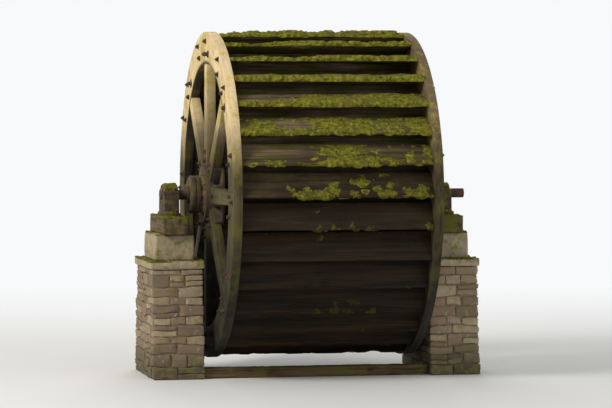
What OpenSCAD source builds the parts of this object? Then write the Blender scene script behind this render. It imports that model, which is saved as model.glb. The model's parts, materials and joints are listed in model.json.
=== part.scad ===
// Timber breastshot water wheel of a mill, turning on two rubble stone piers.
// X runs along the axle towards the mill, -Y is the tail water side, +Z is up.
// The origin is on the bed of the wheel pit, under the middle of the wheel.
// The outlines of the wheel are drawn in its own plane, Y to the right and Z up.

/* [Wheel] */
// Diameter over the shrouds
wheel_d = 3800; // [3200:50:4800]
// Width over both shrouds
wheel_w = 2400; // [1800:50:3200]
// Height of the rim above the bed of the pit
rim_clear = 200; // [150:10:500]
// Number of buckets between one arm and the next
bay_buckets = 4; // [3:1:5]

/* [Shrouds] */
// Radial depth of the shroud rings
shroud_depth = 360; // [320:10:460]
// Thickness of the shroud rings
shroud_t = 100; // [80:5:140]
// Gap between the ends of two cants, or of two sole boards
joint_gap = 0.6; // [0.4:0.1:0.8]
// Turn from an arm to where the next cant begins
cant_turn = 28; // [16:1:34]
// Turn over which the ends of two cants are scarfed together
scarf_turn = 5; // [3:0.5:6]

/* [Buckets] */
// Thickness of the sole boards
sole_t = 32; // [24:1:45]
// How far the sole boards lie outside the inner edge of the shrouds
sole_inset = 15; // [8:1:30]
// Thickness of the riser boards
riser_t = 32; // [24:1:40]
// Height of the elbow above the sole, on the outer face of the front board
elbow_h = 125; // [100:5:160]
// Thickness of the front boards
front_t = 30; // [22:1:40]
// Width of a mouth along the rim, from the lip to the next riser
mouth_w = 94; // [70:2:140]
// How far the lips lie inside the rim
lip_inset = 12; // [6:1:30]
// Depth of the housings that hold the ends of the boards
housing_d = 15; // [8:1:25]
// Turn of the first riser past the first arm
bucket_turn = 2; // [-2:0.5:4]

/* [Arms] */
// Thickness of the arms along the axle
arm_t = 110; // [90:5:140]
// Width of an arm at the hub
arm_root_w = 200; // [160:5:210]
// Width of an arm at the shroud
arm_tip_w = 150; // [110:5:160]
// Thickness of the tongue that is lapped into the shroud
lap_t = 50; // [30:2:60]
// Distance from the end of the tongue to the rim
lap_short = 45; // [30:5:120]

/* [Tie rods] */
// Diameter of the rods that draw the shrouds together
rod_d = 26; // [18:1:32]
// Height of the rods above the sole
rod_h = 62; // [50:2:80]
// Turn of a rod past its arm
rod_turn = 7; // [6:0.5:8]
// Side of the square washers
washer_w = 76; // [60:2:90]
// Thickness of the washers
washer_t = 9; // [6:1:14]
// Width of the nuts across their flats
nut_w = 42; // [34:1:50]
// Thickness of the nuts
nut_t = 24; // [16:1:30]

/* [Hubs] */
// Radius of the eye in the hub
eye_r = 255; // [245:1:265]
// Outer radius of the boss
boss_r = 325; // [305:5:345]
// How far the boss stands out past the arms
boss_out = 40; // [20:5:60]
// How far the boss stands in past the flange
boss_in = 70; // [40:5:120]
// Radius of the flange that backs the arms
flange_r = 560; // [480:10:640]
// Thickness of the flange
flange_t = 28; // [20:1:40]
// Thickness of the cheeks beside the arms
cheek_t = 22; // [14:1:26]
// Height of the cheeks above the flange
cheek_h = 80; // [50:5:85]
// Width of the wedges between the axle and the hub
wedge_w = 110; // [60:5:150]
// How far the wedges stand out of the boss
wedge_out = 14; // [5:1:25]

/* [Axle] */
// Width of the axle across its flats
axle_w = 440; // [400:5:450]
// Diameter of the turned ends of the axle
axle_end_d = 416; // [360:2:430]
// Gap between the end of the timber and the bearing
axle_end_gap = 140; // [60:5:160]
// Width of the iron hoops
hoop_w = 46; // [30:2:50]
// Thickness of the iron hoops
hoop_t = 14; // [8:1:18]
// Gap between the hoops, and from the last hoop to the end
hoop_gap = 12; // [6:1:16]

/* [Gudgeons] */
// Diameter of the journals
journal_d = 120; // [90:2:140]
// Diameter of the core between the wings
core_d = 150; // [142:2:170]
// Reach of the wings from the middle of the axle
wing_r = 190; // [150:5:195]
// Thickness of the wings
wing_t = 30; // [20:2:40]
// Depth of the wings in the timber
wing_l = 260; // [180:10:320]
// Diameter of the collar against the end of the timber
collar_d = 210; // [180:5:240]
// Thickness of the collar
collar_t = 24; // [16:2:40]
// How far the journals stand out of their bearings
tail_l = 20; // [10:5:60]
// Diameter of the drive end, beyond the mill side journal
drive_d = 110; // [80:2:118]
// Length of the drive end
drive_l = 165; // [100:5:180]

/* [Bearings] */
// Width of the bearings along the axle
bearing_w = 180; // [140:5:220]
// Height of the middle of the axle above the bearer
bearing_h = 250; // [220:5:300]
// Length of the foot across the axle
foot_l = 600; // [520:10:700]
// Thickness of the foot
foot_t = 45; // [30:1:60]
// Width of the pedestal where it stands on the foot
pedestal_w = 400; // [340:5:440]
// Wall of the brasses
brass_t = 20; // [14:1:26]
// Iron round the brasses
shell_t = 38; // [28:1:50]
// Width of the lugs on each side of the cap
lug_w = 70; // [55:1:85]
// Thickness of the lugs of the cap
lug_t = 46; // [30:1:60]
// Radial clearance of the journals in the brasses
run_clear = 0.08; // [0.05:0.01:0.1]

/* [Piers] */
// Width of the piers along the axle
pier_w = 600; // [500:10:800]
// Length of the piers at the top, across the axle
pier_top_l = 1200; // [1100:10:1500]
// Length of the piers on the bed of the pit
pier_base_l = 1500; // [1500:10:2000]
// Gap between the shrouds and the piers
pier_gap = 130; // [100:5:200]
// Thickness of the cap stones
cap_t = 90; // [60:5:140]
// Overhang of the cap stones
cap_over = 20; // [10:1:40]
// Width of the bearing stones along the axle
block_w = 460; // [400:10:480]
// Length of the bearing stones across the axle
block_l = 860; // [760:10:1000]
// Height of the bearing stones
block_h = 300; // [200:10:400]
// Width of the oak bearers along the axle
bearer_w = 300; // [260:10:380]
// Length of the oak bearers across the axle
bearer_l = 1020; // [800:10:1080]
// Height of the oak bearers
bearer_h = 200; // [140:10:260]
// Width of the sill across the pit
sill_w = 200; // [140:10:240]
// Height of the sill
sill_h = 120; // [80:5:135]

/* [Fits] */
// Gap between a piece and its seat
seat = 0.3; // [0.2:0.05:0.4]

/* [Hidden] */
$fn = 96;

BANK = -1;
MILL = 1;
bays = 8;
bay_turn = 360 / bays;
pitch = bay_turn / bay_buckets;
cut = 5;

wheel_r = wheel_d / 2;
axle_z = rim_clear + wheel_r;
shroud_in_r = wheel_r - shroud_depth;
shroud_x = wheel_w / 2 - shroud_t;

sole_in_r = shroud_in_r + sole_inset;
sole_r = sole_in_r + sole_t;
elbow = [sole_r + elbow_h, 0];
lip_r = wheel_r - lip_inset;
lip_turn = pitch - mouth_w / lip_r * 180 / PI;
lip = polar(lip_r, lip_turn);
front_run = (lip - elbow) / norm(lip - elbow);
front_up = [front_run[1], -front_run[0]];
board_l = 2 * (shroud_x + housing_d - seat);

arm_foot_r = boss_r + seat;
arm_end_r = wheel_r - lap_short;
shoulder_r = sqrt(shroud_in_r * shroud_in_r - arm_tip_w * arm_tip_w / 4) - seat;
arm_in_z = shroud_t - arm_t;
flange_z = arm_in_z - seat - flange_t;
rod_r = sole_r + rod_h;

bearing_x = wheel_w / 2 + pier_gap + pier_w / 2;
axle_x = bearing_x - bearing_w / 2 - axle_end_gap;
boss_end_x = wheel_w / 2 + boss_out;
axle_end_r = axle_end_d / 2;
journal_r = journal_d / 2;
bush_r = journal_r + run_clear + brass_t;
shell_r = bush_r + seat + shell_t;

bearer_z = axle_z - bearing_h - bearer_h;
block_z = bearer_z - block_h;
cap_z = block_z - cap_t;
pier_in_x = wheel_w / 2 + pier_gap;
sill_y = pier_base_l / 2 - sill_w;

oak = [0.42, 0.34, 0.22];
elm = [0.36, 0.36, 0.14];
iron = [0.24, 0.21, 0.19];
brass = [0.62, 0.50, 0.24];
rubble = [0.58, 0.49, 0.36];
dressed = [0.66, 0.61, 0.48];

function polar(r, a) = [r * cos(a), r * sin(a)];

// Distance from the axle of a line along the front board, at a place across the riser
function front_line(point, across) =
    point[0] + (across - point[1]) * front_run[0] / front_run[1];

// Outline of a front board, or of its housing where it is grown by a clearance
function front_outline(grow) =
    let (
        outer = elbow + front_up * grow,
        inner = elbow - front_up * (front_t + grow),
        back = -riser_t / 2 - grow,
        tip = lip + front_run * grow
    )
    [
        [front_line(inner, back), back],
        [front_line(outer, back), back],
        tip + front_up * grow,
        tip - front_up * (front_t + grow)
    ];

// Distance from the axle of the foot of a riser, which stands on the corner of two sole boards
function foot_line(across, grow) =
    (sole_r + seat - grow) / cos(pitch / 2) - abs(across) * tan(pitch / 2);

// Outline of a riser board, or of its housing
function riser_outline(grow) =
    let (
        half = riser_t / 2 + grow,
        top = elbow - front_up * (front_t + seat - grow)
    )
    [
        [foot_line(half, grow), -half],
        [foot_line(0, grow), 0],
        [foot_line(half, grow), half],
        [front_line(top, half), half],
        [front_line(top, -half), -half]
    ];

// Outline of a sole board across the middle of its bucket, or of its housing
function sole_outline(grow, spread) =
    let (
        low = sole_in_r - grow,
        high = sole_r + grow,
        low_half = low * tan(pitch / 2) + spread,
        high_half = high * tan(pitch / 2) + spread
    )
    [[low, -low_half], [high, -high_half], [high, high_half], [low, low_half]];

// Half the width of a tapered arm at a distance from the axle
function arm_half(r) =
    arm_root_w / 2
    - (arm_root_w - arm_tip_w) / 2 * (r - arm_foot_r) / (shoulder_r - arm_foot_r);

// Draws the mill side as it is and the bank side mirrored
module on_side(side) {
    if (side == BANK) mirror([1, 0, 0]) children();
    else children();
}

// Stands the plane of the wheel up, with its thickness along the axle
module wheel_plane(x) {
    translate([x, 0, axle_z]) rotate([90, 0, 90]) children();
}

module round_bays() {
    for (bay = [0 : bays - 1]) rotate(bay * bay_turn) children();
}

// Length of shroud ring, one bay long, that begins at a turn past the arm
module cant_outline(turn) {
    half_gap = joint_gap / 2 / wheel_r * 180 / PI;
    reach = wheel_r * 1.3;
    intersection() {
        difference() {
            circle(wheel_r, $fn = 360);
            circle(shroud_in_r, $fn = 360);
        }
        polygon([
            [0, 0],
            polar(reach, turn + half_gap),
            polar(reach, turn + bay_turn / 2),
            polar(reach, turn + bay_turn - half_gap)
        ]);
    }
}

// The outer half of a cant is turned on past its inner half, so that each end laps the next cant
module cant_blank() {
    half_t = shroud_t / 2;
    outer_turn = cant_turn + scarf_turn;
    linear_extrude(half_t - seat) cant_outline(cant_turn);
    translate([0, 0, half_t]) linear_extrude(half_t) cant_outline(outer_turn);
    linear_extrude(shroud_t) intersection() {
        cant_outline(cant_turn);
        cant_outline(outer_turn);
    }
}

// Housings of one bucket in the inner face of a shroud
module bucket_housing() {
    polygon(front_outline(seat));
    polygon(riser_outline(seat));
    rotate(pitch / 2) polygon(sole_outline(seat, seat));
}

module tongue_housing() {
    half = arm_tip_w / 2 + seat;
    translate([shroud_in_r - cut, -half])
        square([arm_end_r + seat - shroud_in_r + cut, 2 * half]);
}

// One cant: the length of shroud that carries the end of one arm
module cant() {
    difference() {
        cant_blank();
        translate([0, 0, -cut]) linear_extrude(cut + housing_d)
            for (k = [-1 : 2 * bay_buckets])
                rotate(k * pitch + bucket_turn) bucket_housing();
        translate([0, 0, shroud_t - lap_t - seat]) linear_extrude(lap_t + cut)
            rotate(bay_turn) tongue_housing();
        translate([0, 0, -cut]) linear_extrude(shroud_t + 2 * cut)
            rotate(bay_turn + rod_turn) translate([rod_r, 0]) circle(rod_d / 2 + seat);
    }
}

module shroud(side) {
    color(oak) on_side(side) wheel_plane(shroud_x) round_bays() cant();
}

// One tapered arm, its end cut back to a tongue that is lapped into the shroud
module arm() {
    shoulder_half = arm_half(shoulder_r);
    difference() {
        translate([0, 0, arm_in_z]) linear_extrude(arm_t) polygon([
            [arm_foot_r, -arm_half(arm_foot_r)],
            [shoulder_r, -shoulder_half],
            [arm_end_r, -shoulder_half],
            [arm_end_r, shoulder_half],
            [shoulder_r, shoulder_half],
            [arm_foot_r, arm_half(arm_foot_r)]
        ]);
        translate([shoulder_r, -arm_root_w, arm_in_z - cut])
            cube([wheel_r, 2 * arm_root_w, arm_t - lap_t + cut]);
    }
}

module arms(side) {
    color(oak) on_side(side) wheel_plane(shroud_x) round_bays() arm();
}

// Cheeks that hold one arm from both sides, inside the round of the flange
module cheek_pair() {
    for (turn = [-1, 1]) {
        near = arm_half(boss_r) + seat;
        far = arm_half(flange_r) + seat;
        polygon([
            [boss_r - cut, turn * near],
            [flange_r + cut, turn * far],
            [flange_r + cut, turn * (far + cheek_t)],
            [boss_r - cut, turn * (near + cheek_t)]
        ]);
    }
}

// Cast centre of one set of arms
module hub(side) {
    color(iron) on_side(side) wheel_plane(shroud_x) difference() {
        union() {
            translate([0, 0, flange_z]) cylinder(r = flange_r, h = flange_t);
            translate([0, 0, flange_z - boss_in])
                cylinder(r = boss_r, h = shroud_t + boss_out - flange_z + boss_in);
            translate([0, 0, flange_z + flange_t / 2])
                linear_extrude(flange_t / 2 + cheek_h) intersection() {
                    circle(flange_r);
                    round_bays() cheek_pair();
                }
        }
        translate([0, 0, flange_z - boss_in - cut])
            cylinder(r = eye_r, h = shroud_t + boss_out - flange_z + boss_in + 2 * cut);
    }
}

// Wedges between the flats of the axle and the eye of the hub
module wedge_set() {
    wedge_l = shroud_t + boss_out - flange_z + boss_in + 2 * wedge_out;
    wheel_plane(shroud_x) translate([0, 0, flange_z - boss_in - wedge_out])
        linear_extrude(wedge_l) round_bays() intersection() {
            circle(eye_r - seat);
            translate([axle_w / 2 + seat, -wedge_w / 2]) square([eye_r, wedge_w]);
        }
}

module hub_wedges() {
    color(oak) for (side = [BANK, MILL]) on_side(side) wedge_set();
}

// Slots in the end of the axle for the core and the wings of a gudgeon
module gudgeon_slots() {
    translate([axle_x - wing_l - seat, 0, axle_z]) {
        rotate([0, 90, 0]) cylinder(d = core_d + 2 * seat, h = wing_l + cut);
        for (turn = [0, 90]) rotate([turn, 0, 0])
            translate([0, -wing_r - seat, -wing_t / 2 - seat])
                cube([wing_l + cut, 2 * (wing_r + seat), wing_t + 2 * seat]);
    }
}

// Oak axle: eight sided through the hubs and turned round at its ends
module axle() {
    color(oak) difference() {
        union() {
            translate([-axle_x, 0, axle_z]) rotate([0, 90, 0])
                cylinder(r = axle_end_r, h = 2 * axle_x);
            translate([-boss_end_x - wedge_out, 0, axle_z]) rotate([0, 90, 0])
                rotate(bay_turn / 2)
                cylinder(d = axle_w / cos(bay_turn / 2), h = 2 * (boss_end_x + wedge_out), $fn = 8);
        }
        for (side = [BANK, MILL]) on_side(side) gudgeon_slots();
    }
}

module hoop_pair() {
    for (row = [0, 1])
        wheel_plane(axle_x - (row + 1) * (hoop_gap + hoop_w)) linear_extrude(hoop_w)
            difference() {
                circle(axle_end_r + seat + hoop_t);
                circle(axle_end_r + seat);
            }
}

module axle_hoops() {
    color(iron) for (side = [BANK, MILL]) on_side(side) hoop_pair();
}

// Iron gudgeon: four wings let into the timber, a collar, the journal and any drive end
module gudgeon(side) {
    journal_l = axle_end_gap + bearing_w + tail_l;
    color(iron) on_side(side) translate([axle_x, 0, axle_z]) {
        translate([-wing_l, 0, 0]) rotate([0, 90, 0]) cylinder(d = core_d, h = wing_l + seat);
        for (turn = [0, 90]) rotate([turn, 0, 0])
            translate([-wing_l, -wing_r, -wing_t / 2]) cube([wing_l, 2 * wing_r, wing_t]);
        translate([seat, 0, 0]) rotate([0, 90, 0]) cylinder(d = collar_d, h = collar_t);
        rotate([0, 90, 0]) cylinder(r = journal_r, h = journal_l);
        if (side == MILL) rotate([0, 90, 0]) cylinder(d = drive_d, h = journal_l + drive_l);
    }
}

// Long bolts that draw both shrouds against the shoulders of the boards
module tie_rods() {
    end_z = wheel_w / 2;
    color(iron) wheel_plane(0) round_bays() rotate(rod_turn) translate([rod_r, 0, 0]) {
        cylinder(d = rod_d, h = 2 * (end_z + washer_t + 1.3 * nut_t), center = true);
        for (turn = [0, 180]) rotate([turn, 0, 0]) {
            translate([-washer_w / 2, -washer_w / 2, end_z + seat])
                cube([washer_w, washer_w, washer_t]);
            translate([0, 0, end_z + washer_t])
                cylinder(d = nut_w / cos(30), h = nut_t, $fn = 6);
        }
    }
}

module sole_boards() {
    color(elm) wheel_plane(-board_l / 2) linear_extrude(board_l)
        for (k = [0 : bays * bay_buckets - 1])
            rotate((k + 0.5) * pitch + bucket_turn) polygon(sole_outline(0, -joint_gap / 2));
}

// Elbow buckets of one bay: a riser that stands on the sole and a front board on its edge
module bucket_bay(bay) {
    color(elm) wheel_plane(-board_l / 2) linear_extrude(board_l)
        for (k = [0 : bay_buckets - 1])
            rotate((bay - 1) * bay_turn + k * pitch + bucket_turn) {
                polygon(riser_outline(0));
                polygon(front_outline(0));
            }
}

// Iron pedestal that carries the lower brass
module bearing_base(side) {
    color(iron) on_side(side) wheel_plane(bearing_x - bearing_w / 2) linear_extrude(bearing_w)
        difference() {
            union() {
                translate([-foot_l / 2, -bearing_h]) square([foot_l, foot_t]);
                polygon([
                    [-pedestal_w / 2, foot_t / 2 - bearing_h],
                    [pedestal_w / 2, foot_t / 2 - bearing_h],
                    [shell_r + lug_w, -lug_t],
                    [shell_r + lug_w, 0],
                    [-shell_r - lug_w, 0],
                    [-shell_r - lug_w, -lug_t]
                ]);
            }
            circle(bush_r + seat);
        }
}

// Cap over the upper brass, with a lug for a bolt on each side
module bearing_cap(side) {
    color(iron) on_side(side) wheel_plane(bearing_x - bearing_w / 2) linear_extrude(bearing_w)
        difference() {
            union() {
                circle(shell_r);
                translate([-shell_r - lug_w, seat]) square([2 * (shell_r + lug_w), lug_t]);
            }
            circle(bush_r + seat);
            translate([-2 * shell_r, seat - 2 * shell_r]) square([4 * shell_r, 2 * shell_r]);
        }
}

// Upper and lower brass round the journal
module brasses(side) {
    color(brass) on_side(side) wheel_plane(bearing_x - bearing_w / 2) linear_extrude(bearing_w)
        difference() {
            circle(bush_r);
            circle(journal_r + run_clear);
            translate([-shell_r, -seat]) square([2 * shell_r, 2 * seat]);
        }
}

module stone_block(side, length, width, z, height) {
    on_side(side) translate([bearing_x - width / 2, -length / 2, z])
        cube([width, length, height]);
}

module bearer(side) {
    color(oak) stone_block(side, bearer_l, bearer_w, bearer_z, bearer_h - seat);
}

module bearing_stone(side) {
    color(dressed) stone_block(side, block_l, block_w, block_z, block_h - seat);
}

module cap_stone(side) {
    color(dressed) stone_block(side, pier_top_l + 2 * cap_over, pier_w + 2 * cap_over,
        cap_z, cap_t - seat);
}

// Battered rubble pier from the bed of the pit to its cap stone
module pier(side) {
    top = cap_z - seat;
    color(rubble) on_side(side) translate([pier_in_x, 0, 0]) rotate([90, 0, 90])
        linear_extrude(pier_w) polygon([
            [-pier_base_l / 2, 0],
            [pier_base_l / 2, 0],
            [pier_top_l / 2, top],
            [-pier_top_l / 2, top]
        ]);
}

module pit_sill() {
    sill_x = pier_in_x - seat;
    color(oak) translate([-sill_x, -sill_y - sill_w / 2, 0]) cube([2 * sill_x, sill_w, sill_h]);
}

pier(BANK);  // pier_bank
pier(MILL);  // pier_mill
cap_stone(BANK);  // cap_stone_bank
cap_stone(MILL);  // cap_stone_mill
bearing_stone(BANK);  // bearing_stone_bank
bearing_stone(MILL);  // bearing_stone_mill
bearer(BANK);  // bearer_bank
bearer(MILL);  // bearer_mill
pit_sill();
bearing_base(BANK);  // bearing_base_bank
bearing_base(MILL);  // bearing_base_mill
brasses(BANK);  // brasses_bank
brasses(MILL);  // brasses_mill
bearing_cap(BANK);  // bearing_cap_bank
bearing_cap(MILL);  // bearing_cap_mill
axle();
axle_hoops();
gudgeon(BANK);  // gudgeon_bank
gudgeon(MILL);  // gudgeon_mill
hub(BANK);  // hub_bank
hub(MILL);  // hub_mill
hub_wedges();
arms(BANK);  // arms_bank
arms(MILL);  // arms_mill
shroud(BANK);  // shroud_bank
shroud(MILL);  // shroud_mill
tie_rods();
sole_boards();
bucket_bay(1);  // buckets_bay_1
bucket_bay(2);  // buckets_bay_2
bucket_bay(3);  // buckets_bay_3
bucket_bay(4);  // buckets_bay_4
bucket_bay(5);  // buckets_bay_5
bucket_bay(6);  // buckets_bay_6
bucket_bay(7);  // buckets_bay_7
bucket_bay(8);  // buckets_bay_8
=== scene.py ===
import functools
import json
import math
import random

import bpy
import numpy as np
from bpy.props import FloatProperty, FloatVectorProperty, IntProperty, PointerProperty
from mathutils import Matrix, Vector, noise
from mathutils.bvhtree import BVHTree


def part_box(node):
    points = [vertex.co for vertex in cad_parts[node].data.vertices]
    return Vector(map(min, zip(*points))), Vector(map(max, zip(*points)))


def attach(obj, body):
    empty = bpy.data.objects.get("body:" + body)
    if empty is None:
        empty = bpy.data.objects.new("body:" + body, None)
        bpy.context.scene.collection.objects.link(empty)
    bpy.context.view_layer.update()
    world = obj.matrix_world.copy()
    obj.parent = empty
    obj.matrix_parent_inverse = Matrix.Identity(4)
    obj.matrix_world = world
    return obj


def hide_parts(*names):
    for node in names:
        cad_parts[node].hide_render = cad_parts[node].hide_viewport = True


bl_info = {
    "name": "Mill Water Wheel",
    "version": (1, 0, 0),
    "blender": (4, 5, 0),
    "location": "View3D > Sidebar > Water Wheel",
    "description": "Weathered timber water wheel on two rubble stone piers",
    "category": "Add Mesh",
}

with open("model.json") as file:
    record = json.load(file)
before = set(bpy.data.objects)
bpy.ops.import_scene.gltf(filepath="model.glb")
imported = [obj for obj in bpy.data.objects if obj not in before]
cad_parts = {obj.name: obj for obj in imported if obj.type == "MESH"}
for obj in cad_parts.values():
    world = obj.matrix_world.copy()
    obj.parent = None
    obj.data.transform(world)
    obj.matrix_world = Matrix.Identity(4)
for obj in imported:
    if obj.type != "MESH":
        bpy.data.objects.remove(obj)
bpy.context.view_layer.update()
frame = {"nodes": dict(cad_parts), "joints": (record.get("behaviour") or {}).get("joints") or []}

AXLE = Vector(frame["joints"][0]["pos_m"])
SHROUD_LOW, SHROUD_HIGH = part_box("shroud_mill")
RIM_R = (SHROUD_HIGH.z - SHROUD_LOW.z) / 2
SHROUD_IN_X = SHROUD_LOW.x
SHROUD_OUT_X = SHROUD_HIGH.x
SHROUD_INNER_R = 1.54
SOLE_R = (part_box("sole_boards")[1].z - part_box("sole_boards")[0].z) / 2
# The two sides of the wheel, as the nodes name them, and their directions along X
SIDES = {"bank": -1, "mill": 1}
BAYS = 8
BAY_TURN = math.tau / BAYS
# From the middle of an arm to the scarf between two cants
SCARF_TURN = math.radians(30.5)
STAND = "stand"
WHEEL = "wheel"
# Colour of the backdrop, seen past the floor and in reflections
BACKDROP = (0.93, 0.945, 0.955)


# Settings


def srgb(red, green, blue):
    """A colour given as display values from 0 to 255, as linear numbers."""
    shares = (value / 255 for value in (red, green, blue))
    return tuple(s / 12.92 if s <= 0.04045 else ((s + 0.055) / 1.055) ** 2.4 for s in shares)


def colour_property(name, description, value):
    return FloatVectorProperty(
        name=name, description=description, size=3, subtype="COLOR", min=0, max=1,
        default=srgb(*value))


def length_property(name, description, value):
    return FloatProperty(name=name, description=description, unit="LENGTH", default=value)


def place_property(name, description, value):
    return FloatVectorProperty(
        name=name, description=description, size=3, subtype="TRANSLATION", unit="LENGTH",
        default=value)


class TimberSettings(bpy.types.PropertyGroup):
    """Sizes and colours of the boards, shrouds and beams."""

    edge_wear: length_property("Edge wear", "Rounding of the timber's edges", 0.005)
    warp: length_property("Warp", "How far the boards bow and cup", 0.007)
    lip_wear: length_property("Lip wear", "How far the lips are eaten away", 0.016)
    bare: colour_property("Bare board", "Weathered board with no growth on it", (136, 117, 94))
    bare_dark: colour_property("Dark grain", "Dark grain of a bare board", (72, 58, 43))
    wet: colour_property("Wet board", "Board that is always wet", (43, 33, 21))
    # Wet wood, also the colour of painted shade low on the wheel, inside the sole and on the inner
    # edge of the shrouds
    soaked: colour_property("Soaked board", "Lowest boards, soaked through", (14, 11, 6))
    film: colour_property("Algae", "Green film on the boards", (93, 93, 26))
    # Sunny and shaded shroud: one oak, lighter with painted sunlight on the bank side, darker with
    # painted shade on the mill side
    cream: colour_property("Sunny shroud", "Bank side timber that gets the sun", (241, 215, 169))
    lichen: colour_property("Lichen", "Yellow lichen on the shroud and arms", (208, 180, 84))
    shade: colour_property("Shaded shroud", "Mill side timber", (112, 97, 71))


class MossSettings(bpy.types.PropertyGroup):
    """Cushions of moss on the boards and bearings."""

    height: length_property("Height", "Height of the thickest cushions", 0.021)
    light: colour_property("Light moss", "Tips of the moss", (172, 161, 60))
    mid: colour_property("Moss", "Moss between tips and roots", (119, 117, 32))
    dark: colour_property("Dark moss", "Roots of the moss", (42, 43, 8))


class MasonrySettings(bpy.types.PropertyGroup):
    """Stones and joints of the piers."""

    courses: IntProperty(name="Courses", description="Courses of each pier", default=11, min=4)
    joint: length_property("Joint", "Width of the mortar joints", 0.014)
    recess: length_property("Recess", "Depth of the mortar behind the stones", 0.016)
    warm: colour_property("Warm stone", "Warm stones", (138, 111, 90))
    pale: colour_property("Pale stone", "Pale stones and caps", (172, 156, 126))
    grey: colour_property("Grey stone", "Grey stones", (108, 93, 80))
    mortar: colour_property("Mortar", "Lime mortar", (136, 122, 98))


class FixingSettings(bpy.types.PropertyGroup):
    """Bolts and nails."""

    nut: length_property("Nut", "Width of the square nuts", 0.038)
    nail: length_property("Nail", "Width of the nail heads", 0.017)
    nails: IntProperty(name="Nails", description="Nails along each front board", default=9, min=3)


class IronSettings(bpy.types.PropertyGroup):
    """Edges and colours of the ironwork."""

    edge_wear: length_property("Edge wear", "Rounding of the castings' edges", 0.004)
    skin: colour_property("Skin", "Old dark skin of the iron", (52, 43, 36))
    rust: colour_property("Rust", "Brown rust", (88, 56, 36))
    bright: colour_property("Fresh rust", "Fresh orange rust", (134, 78, 42))
    worn: colour_property("Worn journal", "Journals polished by use", (150, 146, 138))
    brass: colour_property("Brass", "Bearing brasses", (150, 122, 62))


class StageSettings(bpy.types.PropertyGroup):
    """Camera and floor."""

    eye: place_property("Eye", "Place of the camera", (-7.1, -34.9, 3.25))
    aim: place_property("Aim", "Place that the camera looks at", (0.0, 0.0, 1.98))
    lens: FloatProperty(
        name="Lens", description="Focal length in millimetres", unit="CAMERA", default=178)
    floor: colour_property("Floor", "Pale floor", (222, 221, 217))


SETTINGS = {
    "timber": TimberSettings,
    "moss": MossSettings,
    "masonry": MasonrySettings,
    "fixing": FixingSettings,
    "iron": IronSettings,
    "stage": StageSettings,
}


def settings(group):
    return getattr(bpy.context.scene, f"water_wheel_{group}")


# Shader expressions


class Signal:
    """An output of a shader node that takes part in sums, products and comparisons."""

    def __init__(self, nodes, socket):
        self.nodes = nodes
        self.socket = socket

    def math(self, operation, *others, clamp=False):
        return self.nodes.node(
            "ShaderNodeMath", {"operation": operation, "use_clamp": clamp},
            dict(enumerate((self, *others))))

    def __add__(self, other):
        return self.math("ADD", other)

    __radd__ = __add__

    def __mul__(self, other):
        return self.math("MULTIPLY", other)

    __rmul__ = __mul__

    def __sub__(self, other):
        return self.math("SUBTRACT", other)

    def __rsub__(self, other):
        return (self * -1).math("ADD", other)

    def clamp(self):
        return self.math("ADD", 0.0, clamp=True)

    def step(self, low, high):
        """Smooth step from 0 at low to 1 at high; low may be the larger of the two."""
        return self.nodes.node(
            "ShaderNodeMapRange", {"interpolation_type": "SMOOTHSTEP"},
            {"Value": self, "From Min": low, "From Max": high})


class Nodes:
    """The nodes of a material or of the world, added by expressions."""

    def __init__(self, owner):
        owner.use_nodes = True
        self.tree = owner.node_tree

    def node(self, kind, choices=None, inputs=None, output=0, stops=()):
        """Adds a node, sets its choices and then its inputs, and gives one of its outputs."""
        node = self.tree.nodes.new(kind)
        for key, value in (choices or {}).items():
            setattr(node, key, value)
        if stops:
            elements = node.color_ramp.elements
            while len(elements) < len(stops):
                elements.new(0.5)
            for element, (position, colour) in zip(elements, stops):
                element.position = position
                element.color = (*colour, 1)
        for key, value in (inputs or {}).items():
            self.feed(node.inputs[key], value)
        return Signal(self, node.outputs[output])

    def feed(self, socket, value):
        if isinstance(value, Signal):
            self.tree.links.new(value.socket, socket)
        elif socket.type == "RGBA":
            socket.default_value = (*value, 1)
        else:
            socket.default_value = value


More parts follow.
